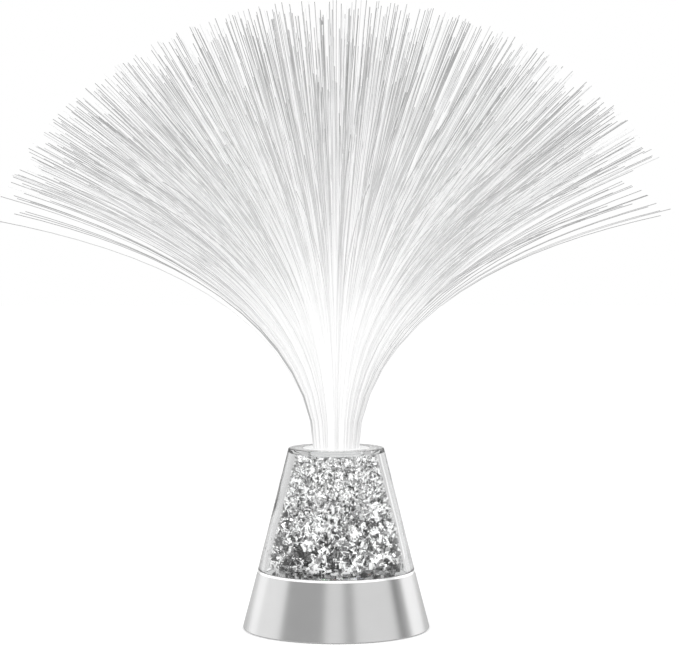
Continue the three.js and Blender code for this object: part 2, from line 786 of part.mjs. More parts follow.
// The shreds as one crumpled ring between the tube and the dome, resting on the deck. Every other corner of
// its surface is a dent.
function addShreds() {
  const inner = collarRadius + fitGap;
  const bottom = deckTop + fitGap;
  const top = domeTop - domeTopThickness - shredGap;
  const positions = [];
  const ringCount = 2 * (shredRings + 1);
  for (let step = 0; step < shredSteps; step += 1) {
    const angle = (2 * Math.PI * step) / shredSteps;
    for (let ring = 0; ring < ringCount; ring += 1) {
      const onOutside = ring <= shredRings;
      const level = onOutside ? ring / shredRings : (ringCount - 1 - ring) / shredRings;
      const dent = (1 - shredChanceShare) * ((step + ring) % 2);
      const relief = shredRelief * (dent + shredChanceShare * spreadShare(step * ringCount + ring, ring));
      const height = bottom + (top - bottom) * level;
      const outer = domeOutside(height) - domeWall - shredGap;
      const radius = onOutside ? outer - relief : inner + relief / 2;
      const dip = level === 1 ? relief : 0;
      positions.push(radius * Math.cos(angle), radius * Math.sin(angle), height - dip);
    }
  }
  const indices = [];
  for (let step = 0; step < shredSteps; step += 1) {
    const here = step * ringCount;
    const next = ((step + 1) % shredSteps) * ringCount;
    for (let ring = 0; ring < ringCount; ring += 1) {
      const up = (ring + 1) % ringCount;
      indices.push(here + ring, next + ring, next + up, here + ring, next + up, here + up);
    }
  }
  const geometry = new THREE.BufferGeometry();
  geometry.setAttribute("position", new THREE.Float32BufferAttribute(positions, 3));
  geometry.setIndex(indices);
  geometry.computeVertexNormals();
  addPiece("foil_shreds", geometry, materials.foil);
}

// Where the fibres of one quarter leave the potting, and the direction in which each one leans. They start a
// little inside the quarter's flat sides, and lean over the whole of its right angle.
function strandStarts(quarter) {
  const rightAngle = Math.PI / 2;
  const keepOff = fitGap / 2 + strandRadius + strandMargin;
  const nearest = 2 * keepOff;
  const starts = [];
  for (let index = 0; index < strandsPerQuarter; index += 1) {
    const area = (index + 0.5) / strandsPerQuarter;
    const distance = Math.sqrt(nearest ** 2 + (bundleRadius ** 2 - nearest ** 2) * area);
    const margin = Math.asin(keepOff / distance);
    const share = spreadShare(index, 0);
    const root = rightAngle * quarter + margin + (rightAngle - 2 * margin) * share;
    const leanTowards = rightAngle * (quarter + share);
    const outwards = (distance - nearest) / (bundleRadius - nearest);
    starts.push({ index, x: distance * Math.cos(root), y: distance * Math.sin(root), leanTowards, outwards });
  }
  return starts;
}

// Rings of a fibre's middle line, as [reach from its root, height, lean from upright]. It leaves the potting
// upright and turns outwards, quickly at first, towards the lean that its place in the bundle gives it.
function strandLine({ index, outwards }) {
  const outerTrim = outerTrimShare * outwards ** 2 + outermostTrimShare * outwards ** 6;
  const looseTrim = looseTrimShare * spreadShare(index, 1) ** 2;
  const length = strandLength * (1 - outerTrim - looseTrim);
  const leanShare = hangingLeanShares[strandsPerQuarter - 1 - index] ?? denseLeanShare;
  const shares = outwards > finerPlaceShare ? finerStationShares : stationShares;
  const lean = (along) => outerLean * leanShare * outwards * (1 - Math.exp(-along / bendLength));
  const steps = 60;
  const stations = [];
  let reach = 0;
  let height = pottingTop;
  let next = 0;
  for (let step = 0; step <= steps; step += 1) {
    const along = (length * step) / steps;
    if (step / steps >= shares[next] - 0.5 / steps) {
      const sunk = next === 0 ? strandRoot : 0;
      stations.push([reach, height - sunk, lean(along)]);
      next += 1;
    }
    const middle = lean(along + length / steps / 2);
    reach += Math.sin(middle) * (length / steps);
    height += Math.cos(middle) * (length / steps);
  }
  return stations;
}

// One fibre: a three-sided section swept along its line, in the upright plane that it leans in.
function strand(start) {
  const sides = 3;
  const positions = [];
  const stations = strandLine(start);
  const cos = Math.cos(start.leanTowards);
  const sin = Math.sin(start.leanTowards);
  for (const [reach, height, lean] of stations) {
    for (let side = 0; side < sides; side += 1) {
      const angle = (2 * Math.PI * side) / sides;
      const across = strandRadius * Math.sin(angle);
      const out = strandRadius * Math.cos(angle);
      const outwards = reach + out * Math.cos(lean);
      const x = start.x + outwards * cos - across * sin;
      const y = start.y + outwards * sin + across * cos;
      positions.push(x, y, height - out * Math.sin(lean));
    }
  }
  const indices = [0, 2, 1];
  for (let ring = 0; ring + 1 < stations.length; ring += 1) {
    for (let side = 0; side < sides; side += 1) {
      const low = ring * sides + side;
      const beside = ring * sides + ((side + 1) % sides);
      indices.push(low, beside, beside + sides, low, beside + sides, low + sides);
    }
  }
  const tip = (stations.length - 1) * sides;
  indices.push(tip, tip + 1, tip + 2);
  const geometry = new THREE.BufferGeometry();
  geometry.setAttribute("position", new THREE.Float32BufferAttribute(positions, 3));
  geometry.setIndex(indices);
  return geometry;
}

// Four quarters of the bundle: each has its slice of the potting, with its fibres fused to it.
function addSpray() {
  const slice = new THREE.Shape();
  slice.moveTo(0, 0);
  slice.lineTo(pottingRadius, 0);
  slice.absarc(0, 0, pottingRadius, 0, Math.PI / 2, false);
  slice.closePath();
  for (let quarter = 0; quarter < quarterCount; quarter += 1) {
    const depth = pottingTop - ferruleBottom;
    const potting = new THREE.ExtrudeGeometry(slice, { depth, bevelEnabled: false, curveSegments: 8 });
    potting.translate(fitGap / 2, fitGap / 2, ferruleBottom).rotateZ((quarter * Math.PI) / 2);
    const strands = strandStarts(quarter).map(strand);
    addPiece(`fibre_quarter_${quarter + 1}`, joined(potting, ...strands), materials.fibre);
  }
}

addHousing();
addBasePlate();
addDoor();
addCells();
addContacts();
addFeet();
addScrews();
addSwitch();
addBoard();
addWires();
addDeck();
addDome();
addCoreTube();
addFerrule();
addShreds();
addSpray();

console.log(`least gap between the turns of a contact spring: ${leastSpringGap().toFixed(2)} mm`);

export default lamp;
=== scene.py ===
"""The looks of the fiber optic lamp: silver base, clear dome of foil shreds and the spray of fibres."""

import math

import bmesh
import bpy
from mathutils import Matrix, Vector


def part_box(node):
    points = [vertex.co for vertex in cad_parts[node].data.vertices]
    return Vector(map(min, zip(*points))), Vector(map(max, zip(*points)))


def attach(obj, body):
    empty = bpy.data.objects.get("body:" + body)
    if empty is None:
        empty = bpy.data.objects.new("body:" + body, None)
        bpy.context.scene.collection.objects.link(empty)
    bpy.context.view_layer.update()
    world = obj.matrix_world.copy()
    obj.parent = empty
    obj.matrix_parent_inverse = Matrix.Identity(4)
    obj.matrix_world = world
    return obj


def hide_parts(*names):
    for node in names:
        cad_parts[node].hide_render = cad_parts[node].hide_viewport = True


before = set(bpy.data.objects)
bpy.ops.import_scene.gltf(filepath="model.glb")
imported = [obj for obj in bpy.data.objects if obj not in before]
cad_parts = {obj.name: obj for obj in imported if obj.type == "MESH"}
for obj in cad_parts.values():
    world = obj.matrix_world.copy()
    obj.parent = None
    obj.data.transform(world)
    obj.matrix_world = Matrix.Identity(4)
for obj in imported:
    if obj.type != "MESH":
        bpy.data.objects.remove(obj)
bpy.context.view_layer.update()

MM = 0.001

# Sizes read from the frame
housing_low, housing_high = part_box("base_housing")
dome_low, dome_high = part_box("crystal_dome")
deck_low, deck_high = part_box("reflector_deck")
tube_low, tube_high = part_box("core_tube")
ferrule_low, ferrule_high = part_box("bundle_ferrule")

# Sizes of the turned pieces
FIT = 0.3 * MM
HOUSING_WALL = 2.2 * MM
SKIRT_RADIUS = 49.7 * MM
SKIRT_DROP = 0.6 * MM
SKIRT_ROUND = 0.4 * MM
SEAM_RADIUS = 41.94 * MM
LIP_HEIGHT = 3.2 * MM
LIP_BEVEL_WIDTH = 0.7 * MM
LIP_BEVEL_HEIGHT = 1.2 * MM
LIP_THICKNESS = 1 * MM
SHELF_THICKNESS = 2 * MM
SHELF_WIDTH = 10 * MM
DOME_TOP_RADIUS = 25.34 * MM
DOME_WALL = 4.2 * MM
DOME_TOP_THICKNESS = 3 * MM
DOME_ROUND = 0.5 * MM
SEAM_GAP = 0.05 * MM
TUBE_WALL = 1.5 * MM
FLANGE_HEIGHT = 1.3 * MM
FERRULE_WALL = 0.8 * MM
FERRULE_FLANGE = 4.1 * MM
KEY_WIDTH = 3 * MM
COLLAR_THICKNESS = 1.2 * MM
DECK_THICKNESS = 1.6 * MM
SMALL_ROUND = 0.2 * MM
FOOT_ROUND = 0.6 * MM
EDGE_ROUND = 0.25 * MM
SHARP_EDGE = math.radians(35)
MERGE_DISTANCE = 1e-6

seam = housing_high.z - LIP_BEVEL_HEIGHT

# Dry cells
CELL_SHOULDER = 0.9 * MM
NUB_RADIUS = 2.75 * MM
NUB_HEIGHT = 1.2 * MM
NUB_GROOVE = 1.3 * MM
NUB_GROOVE_DEPTH = 0.4 * MM

# Where the copper-coloured band and the bare end of a cell begin, as shares of half its length
CELL_BAND = 0.62
CELL_BARE = 0.955

# Spray of fibres
FIBRES_PER_QUARTER = 540
FIBRE_RADIUS = 0.18 * MM
FIBRE_RINGS = 16
FIBRE_SIDES = 5
BUNDLE_RADIUS = 12.3 * MM
FIBRE_LENGTH = 236 * MM
BEND_LENGTH = 95 * MM
OUTER_LEAN = math.radians(88)
GLOW_LENGTH = 125 * MM
ROOT_LENGTH = 45 * MM
DULL_START = 20 * MM

# How much single fibres stray from their course, in radians or as a share of the outer lean
SWAY = 0.24
STRAY_HEADING = 0.1
STRAY_LEAN = 0.06

# Below 1, fewer fibres leave the bundle near its edge. The hanging ones leave it just inside the edge
EDGE_DENSITY = 0.78
HANGING_START = 0.985

# Lengths of the fibres, as shares of the full length
OUTER_TRIM = 0.035
EDGE_TRIM = 0.01
UNEVEN_TRIM = 0.12
RIGHT_GROWTH = 0.02
HANGING_CUT = 0.94
HANGING_TRIM = 0.06

# A share of the fibres, or a lean as a share of the outer lean, and what the right side adds to it
HANGING_SHARE = (0.006, 0.045)
HANGING_LEAN = (0.965, -0.1)
HANGING_SPREAD = (0.05, 0.08)
DENSE_LEAN = (0.955, -0.08)
DENSE_SPREAD = (0.04, 0.04)

# Painted glow of the fibres: the bundle's share of it, where the tips start to fade, and the dull fibres at
# the spray's sides, whose loss of it is painted shade
BUNDLE_PAINTED_GLOW = 0.52
TIP_START = 0.7
DULL_SHARE = 0.3
DULL_LOSS = 0.85

# Steps that spread values evenly: the golden section, and its kin for several values at once
GOLDEN_SHARE = (math.sqrt(5) - 1) / 2
EVEN_RATIO = 1.32471795724

# Foil shreds. Their room from the walls and their bend are shares of their size
SHRED_COUNT = 15000
SHRED_LARGEST = 7 * MM
SHRED_SMALLEST = 2.1 * MM
SHRED_FACET = 1.6 * MM
SHRED_ROOM = 0.42
SHRED_BEND = 0.3
CORE_GAP = 2 * MM

# Heights above the deck: where the painted shade at the foot and the contrasty low part end, and where the
# painted light begins and is full
FOOT_END = 9 * MM
LOW_END = 58 * MM
PAINTED_LIGHT_START = 22 * MM
PAINTED_LIGHT_FULL = 52 * MM

# Floor: its half width, how far below the feet it lies, and where it turns white, in metres
FLOOR_SIZE = 8
FLOOR_DROP = 0.02 * MM
FLOOR_NEAR = 0.25
FLOOR_FAR = 0.7

# Soft panels
PANEL_SIZE = 0.9
PANEL_AIM = (0, 0, 0.12)

# Studio: the azimuth and width of each card in degrees, 0 behind the camera, and its level
ROOM_LEVEL = 0.37
CARD_EDGE = 5
STUDIO_CARDS = (
    (-131, 32, 1.0), (-94, 41, 0.81), (-2, 26, 0.68), (54, 59, 0.7), (91, 6, 0.18), (129, 46, 1.0),
)

# What dull pieces see of the studio, and what the glass sees at its sides, behind the lamp and above
SOFT_LEVEL = 0.72
SIDE_LEVEL = 0.57
BACK_LEVEL = 0.66
ABOVE_LEVEL = 0.86
STREAK_AZIMUTH = 142

# Camera, fitted to the photograph's ellipses
CAMERA_DISTANCE = 1050 * MM
CAMERA_HEIGHT = 193 * MM
CAMERA_ASIDE = 1.75 * MM
CAMERA_PITCH = math.radians(1.7)
CAMERA_LENS = 105
CAMERA_SENSOR = 36
CAMERA_NEAR = 0.05


class Socket:
    """An output of a node, so that sums of values are written as Python expressions."""

    def __init__(self, tree, socket):
        self.tree = tree
        self.socket = socket

    def out(self, name):
        return Socket(self.tree, self.socket.node.outputs[name])

    def math(self, operation, *values):
        return self.tree.node("ShaderNodeMath", dict(enumerate(values)), operation=operation)

    def __add__(self, other):
        return self.math("ADD", self, other)

    def __sub__(self, other):
        return self.math("SUBTRACT", self, other)

    def __rsub__(self, other):
        return self.math("SUBTRACT", other, self)

    def __mul__(self, other):
        return self.math("MULTIPLY", self, other)

    def __truediv__(self, other):
        return self.math("DIVIDE", self, other)

    def __pow__(self, other):
        return self.math("POWER", self, other)

    def __lt__(self, other):
        return self.math("LESS_THAN", self, other)

    def __gt__(self, other):
        return self.math("GREATER_THAN", self, other)

    __radd__ = __add__
    __rmul__ = __mul__

    def floor(self):
        return self.math("FLOOR", self)

    def fraction(self):
        return self.math("FRACT", self)

    def root(self):
        return self.math("SQRT", self)

    def sine(self):
        return self.math("SINE", self)

    def cosine(self):
        return self.math("COSINE", self)

    def exponent(self):
        return self.math("EXPONENT", self)

    def absolute(self):
        return self.math("ABSOLUTE", self)

    def ramp(self, low, high, start=0, end=1):
        """Runs smoothly from start to end as the value goes from low to high."""
        inputs = {"Value": self, "From Min": low, "From Max": high, "To Min": start, "To Max": end}
        return self.tree.node("ShaderNodeMapRange", inputs, interpolation_type="SMOOTHSTEP")


class Tree:
    """A node tree that is being built."""

    def __init__(self, node_tree):
        self.node_tree = node_tree
        node_tree.nodes.clear()

    def node(self, kind, inputs=None, stops=(), **settings):
        """Adds a node: its settings first, then a ramp's grey stops, then its sockets' values or links."""
        made = self.node_tree.nodes.new(kind)
        for name, value in settings.items():
            setattr(made, name, value)
        for _ in stops[2:]:
            made.color_ramp.elements.new(0)
        for place, (position, level) in enumerate(stops):
            made.color_ramp.elements[place].position = position
            made.color_ramp.elements[place].color = grey(level)
        for name, value in (inputs or {}).items():
            self.feed(made.inputs[name], value)
        return Socket(self, made.outputs[0]) if made.outputs else made

    def feed(self, socket, value):
        """Links a value from another node to a socket, or sets a plain one."""
        if isinstance(value, Socket):
            self.node_tree.links.new(value.socket, socket)
        else:
            socket.default_value = value

    def mix(self, share, first, second):
        """A colour between two colours. Of a Mix node's sockets, these are the ones for colours."""
        made = self.node_tree.nodes.new("ShaderNodeMix")
        made.data_type = "RGBA"
        for socket, value in ((0, share), (6, first), (7, second)):
            self.feed(made.inputs[socket], value)
        return Socket(self, made.outputs[2])

    def vector(self, x, y, z):
        return self.node("ShaderNodeCombineXYZ", {"X": x, "Y": y, "Z": z})

    def even(self, which, power, start):
        """Values from 0 to 1 that fall evenly, with no clumps, as which counts up."""
        return (which * EVEN_RATIO ** -power + start).fraction()

    def chance(self, which, seed):
        """Random values from 0 to 1, the same for the same which and seed."""
        place = self.vector(which, seed, 0)
        return self.node("ShaderNodeTexWhiteNoise", {"Vector": place}, noise_dimensions="2D")


def grey(level):
    return (level, level, level, 1)


class Finish(Tree):
    """A material: its values feed one Principled surface."""

    def __init__(self, name):
        self.material = bpy.data.materials.new(name)
        self.material.use_nodes = True
        super().__init__(self.material.node_tree)
        self.place = self.node("ShaderNodeTexCoord").out("Object")

    def noise(self, size, detail=3, roughness=0.5, place=None):
        """Noise whose features are about size across."""
        inputs = {"Vector": place or self.place, "Scale": 1 / size, "Detail": detail, "Roughness": roughness}
        return self.node("ShaderNodeTexNoise", inputs)

    def along(self, axis):
        """The place along X, Y or Z."""
        return self.node("ShaderNodeSeparateXYZ", {"Vector": self.place}).out(axis)

    def facets(self, size):
        """A tone from 0 to 1 for each facet about size across."""
        cells = self.node("ShaderNodeTexVoronoi", {"Vector": self.place, "Scale": 1 / size})
        return self.node("ShaderNodeSeparateColor", {"Color": cells.out("Color")}).out("Red")

    def bump(self, height, depth):
        return self.node("ShaderNodeBump", {"Height": height, "Distance": depth, "Strength": 1})

    def attribute(self, name):
        return self.node("ShaderNodeAttribute", attribute_name=name).out("Fac")

    def surface(self, **inputs):
        """Ends the tree in a Principled surface. A socket's name is written with _ for each space."""
        named = {name.replace("_", " "): value for name, value in inputs.items()}
        shader = self.node("ShaderNodeBsdfPrincipled", named)
        self.node("ShaderNodeOutputMaterial", {"Surface": shader})
        return self.material


def silver_finish(name, roughness=0.2, bevel_painted_highlight=0.0):
    """Satin silver. Its bevel at the seam is lighter and can glow: a painted highlight."""
    finish = Finish(name)
    cloud = finish.noise(14 * MM)
    speck = finish.noise(0.25 * MM, detail=1)
    # The bevel at the seam takes a painted highlight: a lighter colour and a glow
    bevel = finish.along("Z").ramp(seam + 0.05 * MM, seam + 0.25 * MM)
    satin = finish.mix(cloud, grey(0.864), grey(0.936))
    return finish.surface(
        Base_Color=finish.mix(bevel, satin, grey(0.97)),
        Emission_Color=finish.mix(bevel, grey(0), grey(bevel_painted_highlight)),
        Emission_Strength=1.0,
        Metallic=1.0,
        Roughness=roughness - 0.04 + 0.08 * cloud,
        Normal=finish.bump(speck, 0.004 * MM),
    )


def plastic_finish(name, colour, roughness=0.45):
    """Moulded plastic with a fine spark-eroded grain."""
    finish = Finish(name)
    cloud = finish.noise(9 * MM)
    pits = finish.noise(0.35 * MM, detail=2, roughness=0.6)
    darker = (*(0.85 * part for part in colour), 1)
    lighter = (*(min(1.12 * part, 1) for part in colour), 1)
    return finish.surface(
        Base_Color=finish.mix(cloud, darker, lighter),
        Roughness=roughness - 0.06 + 0.12 * pits,
        Normal=finish.bump(pits, 0.02 * MM),
    )


def white_painted_glow_finish(name):
    """White moulding at the root of the fibres, with a painted glow: strong from 3 mm below its top, where
    it stands in the dome's seat, weaker on its top face and faint further down.
    """
    finish = Finish(name)
    pits = finish.noise(0.35 * MM, detail=2, roughness=0.6)
    height = finish.along("Z")
    top = height.ramp(ferrule_high.z - 0.6 * MM, ferrule_high.z - 0.4 * MM)
    socket = height.ramp(ferrule_high.z - 4 * MM, ferrule_high.z - 3 * MM)
    return finish.surface(
        Base_Color=finish.mix(pits, grey(0.74), grey(0.86)),
        Roughness=0.34 + 0.12 * pits,
        # Painted glow: faint below, strong in the seat, weaker on the top face
        Emission_Color=finish.mix(top, finish.mix(socket, grey(0.05), grey(0.5)), grey(0.16)),
        Emission_Strength=1.0,
        Normal=finish.bump(pits, 0.02 * MM),
    )


def steel_finish(name, level=0.62, roughness=0.3):
    """Plated steel with fine lines drawn one way."""
    finish = Finish(name)
    stretched = finish.node("ShaderNodeMapping", {"Vector": finish.place, "Scale": (1, 9, 1)})
    lines = finish.noise(1.6 * MM, place=stretched)
    cloud = finish.noise(3 * MM)
    return finish.surface(
        Base_Color=finish.mix(cloud, grey(level * 0.9), grey(level * 1.08)),
        Metallic=1.0,
        Roughness=roughness - 0.08 + 0.16 * lines,
        Normal=finish.bump(lines, 0.006 * MM),
    )


def rubber_finish(name):
    """Black rubber with dust in its grain."""
    finish = Finish(name)
    dust = finish.noise(1.4 * MM, detail=5)
    grain = finish.noise(0.2 * MM)
    return finish.surface(
        Base_Color=finish.mix(dust.ramp(0.5, 0.75), grey(0.022), grey(0.05)),
        Roughness=0.78 + 0.14 * dust,
        Normal=finish.bump(grain, 0.03 * MM),
    )


def cell_finish(name):
    """A plain cell: a dark jacket with copper-coloured bands and bare steel ends."""
    finish = Finish(name)
    low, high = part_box("battery_1")
    outwards = (finish.along("Y") / ((high.y - low.y) / 2)).absolute()
    scuffs = finish.noise(2.5 * MM, detail=6)
    jacket = finish.mix(scuffs, (0.03, 0.035, 0.04, 1), (0.05, 0.055, 0.06, 1))
    band = finish.mix(outwards > CELL_BAND, jacket, (0.45, 0.24, 0.11, 1))
    bare = outwards > CELL_BARE
    return finish.surface(
        Base_Color=finish.mix(bare, band, grey(0.6)),
        Metallic=0.35 + 0.6 * bare,
        Roughness=0.26 + 0.12 * scuffs,
    )


def board_finish(name):
    """Green board with lighter tracks under the mask."""
    finish = Finish(name)
    inputs = {"Vector": finish.place, "Scale": 1 / (2.6 * MM)}
    cells = finish.node("ShaderNodeTexVoronoi", inputs, feature="DISTANCE_TO_EDGE", distance="MANHATTAN")
    tracks = cells.ramp(0.1, 0.13, 1, 0)
    weave = finish.noise(0.5 * MM)
    return finish.surface(
        Base_Color=finish.mix(tracks, (0.012, 0.09, 0.03, 1), (0.03, 0.2, 0.07, 1)),
        Roughness=0.32 + 0.15 * weave,
        Normal=finish.bump(tracks + 0.3 * weave, 0.02 * MM),
    )


def lens_finish(name, glow):
    """Clear lens of a lit diode, with the colour of its light."""
    finish = Finish(name)
    haze = finish.noise(1.2 * MM)
    return finish.surface(
        Base_Color=finish.mix(haze, grey(0.85), grey(0.95)),
        Roughness=0.08 + 0.1 * haze,
        Transmission_Weight=0.6,
        IOR=1.5,
        Emission_Color=(*glow, 1),
        Emission_Strength=1.5,
    )


def clear_finish(name):
    """Clear moulded acrylic with a little haze in its skin."""
    finish = Finish(name)
    haze = finish.noise(7 * MM)
    wave = finish.noise(22 * MM, detail=1)
    return finish.surface(
        Base_Color=finish.mix(haze, (0.985, 0.99, 0.99, 1), (0.99485, 0.9999, 0.9999, 1)),
        Roughness=0.02 * haze,
        Transmission_Weight=1.0,
        IOR=1.49,
        Normal=finish.bump(wave, 0.25 * MM),
    )


def foil_finish(name):
    """Mirror film: each shred has a tone of its own, broken up by the facets of its creases.

    Painted light brightens the upper shreds, and the brightest shreds have painted glints, stronger lower
    down. Lower down the shreds are either bright or near-black with painted shade, and at the foot they are
    darker still, also painted shade.
    """
    finish = Finish(name)
    tone = 0.84 * finish.attribute("tone") + 0.36 * finish.facets(SHRED_FACET) - 0.1
    crease = finish.noise(2.5 * MM, detail=1)
    height = finish.along("Z")
    floor = deck_high.z
    # Painted shade at the foot: a darker film and less painted light
    foot = height.ramp(floor, floor + FOOT_END, 1, 0)
    low = height.ramp(floor, floor + LOW_END, 1, 0)
    # Painted light that grows with height, and painted glints on the brightest shreds, stronger lower down
    painted_light = height.ramp(floor + PAINTED_LIGHT_START, floor + PAINTED_LIGHT_FULL, 0.06, 0.28) * tone.ramp(0.1, 0.6, 0.1, 1)
    painted_glint = (tone > 0.74 - 0.05 * low) * (0.32 + 0.34 * low * low)
    painted_light = (painted_light + painted_glint) * (1 - 0.6 * foot)
    stops = ((0, 0.03), (0.28, 0.2), (0.5, 0.65), (0.7, 0.96))
    film = finish.node("ShaderNodeValToRGB", {"Fac": tone}, stops=stops)
    film = finish.mix(0.45 * foot, film, grey(0.1))
    # Near-black shreds, most of them lower down: painted shade
    dark = tone.ramp(0.2 + 0.04 * low, 0.21 + 0.04 * low, 1, 0) * low.ramp(0, 0.4, 0.15, 1)
    return finish.surface(
        Base_Color=finish.mix(dark, film, grey(0.02)),
        Metallic=0.75,
        Roughness=0.12 + 0.2 * crease,
        Emission_Color=finish.mix(painted_light, grey(0), grey(1)),
        Emission_Strength=1.0,
        Normal=finish.bump(crease, 0.06 * MM),
    )


def fibre_finish(name):
    """Frosted polymer fibre with a painted glow: a little all along it, which lifts the shade in the dense
    spray, and strongly near the bundle.
    """
    finish = Finish(name)
    light = finish.attribute("tone").ramp(0.3, 0.9)
    painted_glow_share = finish.attribute("painted_glow_share")
    streak = finish.noise(5 * MM, detail=2)
    # Painted glow: low far from the bundle, strong near it
    far = finish.mix(light, grey(0.11), grey(0.34))
    near = finish.mix(light, grey(0.41), grey(0.6))
    plain = finish.mix(light, (0.26, 0.261, 0.263, 1), (0.66, 0.662, 0.665, 1))
    return finish.surface(
        Base_Color=finish.mix(painted_glow_share, plain, grey(0.54)),
        Roughness=0.22 + 0.16 * streak,
        IOR=1.45,
        Emission_Color=finish.mix(painted_glow_share, far, near),
        Emission_Strength=1.0,
    )


def placed(name, mesh, material):
    """Puts a finished mesh into the scene, unturned and at the origin."""
    piece = bpy.data.objects.new(name, mesh)
    bpy.context.collection.objects.link(piece)
    mesh.materials.clear()
    mesh.materials.append(material)
    return piece


def eased(corners, steps):
    """A closed profile's (radius, height, round) corners, with each round as an arc."""
    points = []
    for place, (radius, height, ease) in enumerate(corners):
        corner = Vector((radius, height))
        if not ease:
            points.append(corner)
            continue
        before = (Vector(corners[place - 1][:2]) - corner).normalized()
        after = (Vector(corners[(place + 1) % len(corners)][:2]) - corner).normalized()
        half = before.angle(after) / 2
        centre = corner + (before + after).normalized() * (ease / math.sin(half))
        first = corner + before * (ease / math.tan(half)) - centre
        last = corner + after * (ease / math.tan(half)) - centre
        sweep = first.angle_signed(last)
        for step in range(steps + 1):
            turn = -sweep * step / steps
            points.append(centre + Vector((
                first.x * math.cos(turn) - first.y * math.sin(turn),
                first.x * math.sin(turn) + first.y * math.cos(turn),
            )))
    return points


def turned(name, corners, material, steps, ease_steps=4, centre=(0, 0)):
    """A turned piece, from the corners of its closed profile, round an upright axis."""
    form = bmesh.new()
    profile = eased(corners, ease_steps)
    rings = []
    for step in range(steps):
        angle = 2 * math.pi * step / steps
        x, y = math.cos(angle), math.sin(angle)
        ring = [(radius * x + centre[0], radius * y + centre[1], height) for radius, height in profile]
        rings.append([form.verts.new(point) for point in ring])
    for step, ring in enumerate(rings):
        following = rings[(step + 1) % steps]
        for low in range(len(profile)):
            high = (low + 1) % len(profile)
            form.faces.new((ring[low], following[low], following[high], ring[high]))
    bmesh.ops.remove_doubles(form, verts=form.verts, dist=MERGE_DISTANCE)
    bmesh.ops.dissolve_degenerate(form, edges=form.edges, dist=MERGE_DISTANCE / 10)
    bmesh.ops.recalc_face_normals(form, faces=form.faces)
    return smoothed(name, form, material)


def smoothed(name, form, material):
    """Makes the mesh of a piece, smooth apart from its sharp edges."""
    for face in form.faces:
        face.smooth = True
    for edge in form.edges:
        edge.smooth = len(edge.link_faces) == 2 and edge.calc_face_angle() < SHARP_EDGE
    mesh = bpy.data.meshes.new(name)
    form.to_mesh(mesh)
    form.free()
    piece = placed(name, mesh, material)
    flat = piece.modifiers.new("flat faces stay flat", "WEIGHTED_NORMAL")
    flat.keep_sharp = True
    return piece


def softened(name, node, material):
    """A copy of a CAD piece whose flat faces are whole and whose hard edges have a small round."""
    form = bmesh.new()
    form.from_mesh(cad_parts[node].data)
    bmesh.ops.remove_doubles(form, verts=form.verts, dist=MERGE_DISTANCE)
    bmesh.ops.dissolve_limit(form, angle_limit=math.radians(1), verts=form.verts, edges=form.edges)
    piece = smoothed(name, form, material)
    piece.modifiers.clear()
    bevel = piece.modifiers.new("edge rounds", "BEVEL")
    bevel.width = EDGE_ROUND
    bevel.segments = 2
    bevel.limit_method = "ANGLE"
    bevel.angle_limit = SHARP_EDGE
    bevel.harden_normals = True
    return piece


def geometry_tree(name, sizes):
    """An empty geometry tree with the named sizes as its inputs. Returns the tree and its inputs by name."""
    group = bpy.data.node_groups.new(name, "GeometryNodeTree")
    group.interface.new_socket("Geometry", in_out="OUTPUT", socket_type="NodeSocketGeometry")
    for label, value in sizes.items():
        kind = "NodeSocketInt" if isinstance(value, int) else "NodeSocketFloat"
        group.interface.new_socket(label, in_out="INPUT", socket_type=kind)
    tree = Tree(group)
    given = tree.node("NodeGroupInput")
    return tree, {label: given.out(label) for label in sizes}


def finished_tree(tree, geometry, material):
    """Ends a geometry tree: everything is realized and has its material."""
    whole = tree.node("GeometryNodeRealizeInstances", {"Geometry": geometry})
    dressed = tree.node("GeometryNodeSetMaterial", {"Geometry": whole, "Material": material})
    tree.node("NodeGroupOutput", {"Geometry": dressed})
    return tree.node_tree


def grown(name, group, sizes, material):
    """The plain mesh that a geometry tree makes with these sizes."""
    maker = bpy.data.objects.new(name, bpy.data.meshes.new(name))
    bpy.context.collection.objects.link(maker)
    modifier = maker.modifiers.new(name, "NODES")
    modifier.node_group = group
    for item in group.interface.items_tree:
        if item.in_out == "INPUT":
            modifier[item.identifier] = sizes[item.name]
    depsgraph = bpy.context.evaluated_depsgraph_get()
    mesh = bpy.data.meshes.new_from_object(maker.evaluated_get(depsgraph), depsgraph=depsgraph)
    bpy.data.objects.remove(maker)
    return placed(name, mesh, material)


def stored(tree, geometry, name, value, domain="POINT"):
    """The geometry with a named value of its own on each point, or on each instance."""
    inputs = {"Geometry": geometry, "Name": name, "Value": value}
    return tree.node("GeometryNodeStoreNamedAttribute", inputs, data_type="FLOAT", domain=domain)


